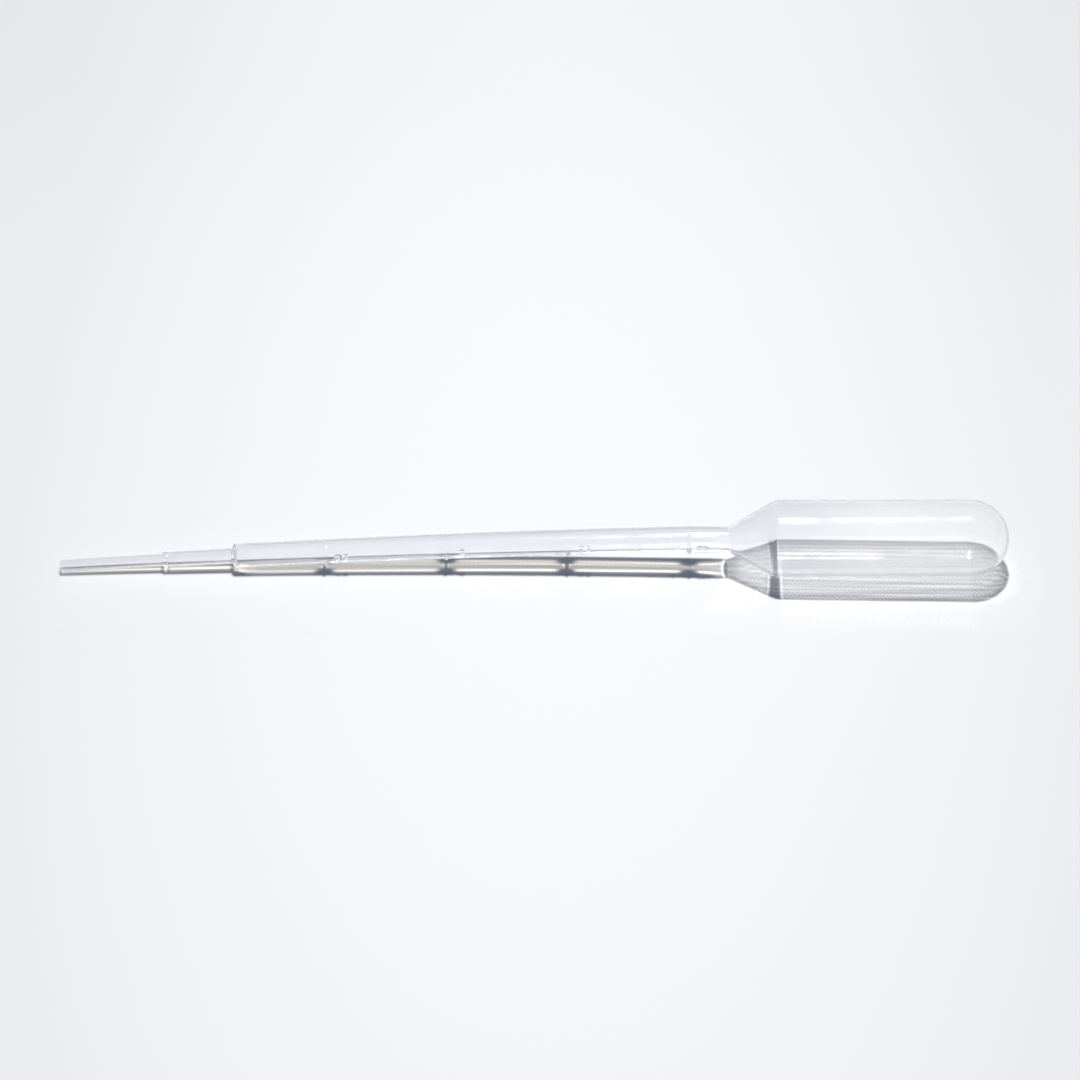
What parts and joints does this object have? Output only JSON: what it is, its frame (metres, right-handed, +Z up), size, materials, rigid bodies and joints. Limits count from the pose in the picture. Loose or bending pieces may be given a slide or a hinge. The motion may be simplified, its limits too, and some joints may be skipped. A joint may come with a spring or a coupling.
{
  "type": "dropper pipette",
  "caption": "One-piece squeeze-bulb dropper pipette with a conical shoulder, a tapered stem with raised scale marks and a stepped fine tip, lying on its side.",
  "frame": {"origin": "on the surface it lies on, at the middle of its length and width", "axes": "+X along the pipette from the tip to the bulb, +Z up from the surface it lies on, -Y the side that carries the raised scale"},
  "size_m": [0.155, 0.0128, 0.0135],
  "materials": {
    "clear_ldpe": "clear soft polyethylene, blow-moulded, smooth and glossy with a slight haze"
  },
  "bodies": {
    "root": {"pipette": "clear_ldpe"}
  },
  "joints": []
}
